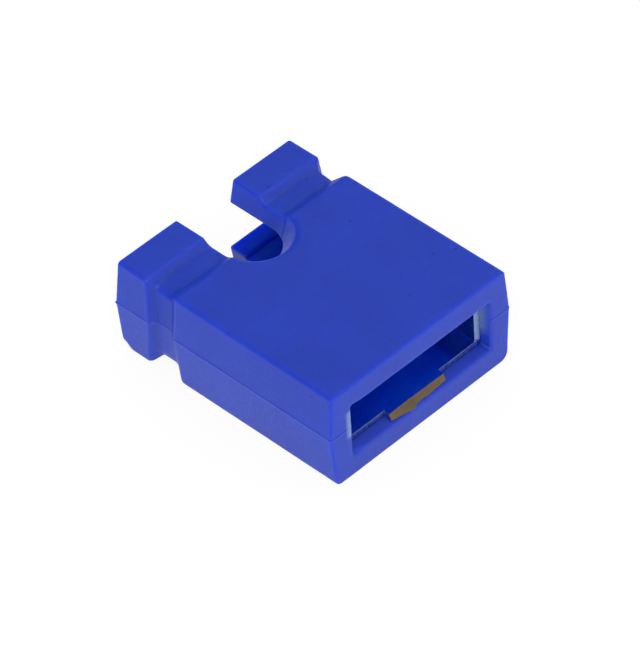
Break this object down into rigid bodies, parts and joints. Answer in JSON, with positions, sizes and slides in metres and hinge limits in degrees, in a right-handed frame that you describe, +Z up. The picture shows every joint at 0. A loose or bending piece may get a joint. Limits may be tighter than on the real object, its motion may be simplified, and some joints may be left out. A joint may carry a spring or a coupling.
{
  "type": "jumper cap",
  "caption": "Open-ended shunt that pushes over two neighbouring header posts and joins them, with finger ears to pull it off by.",
  "frame": {"origin": "under the middle of the whole part, on the wide face it rests on", "axes": "+X across both posts, +Y from the mouth to the finger ears, +Z up through the thickness"},
  "size_m": [0.005, 0.006, 0.0023],
  "materials": {
    "housing_plastic": "satin moulded thermoplastic, royal blue",
    "contact_metal": "bright tin plating on phosphor bronze sheet, bare bronze where it was broken off"
  },
  "bodies": {
    "root": {"housing": "housing_plastic", "contact": "contact_metal"}
  },
  "joints": []
}
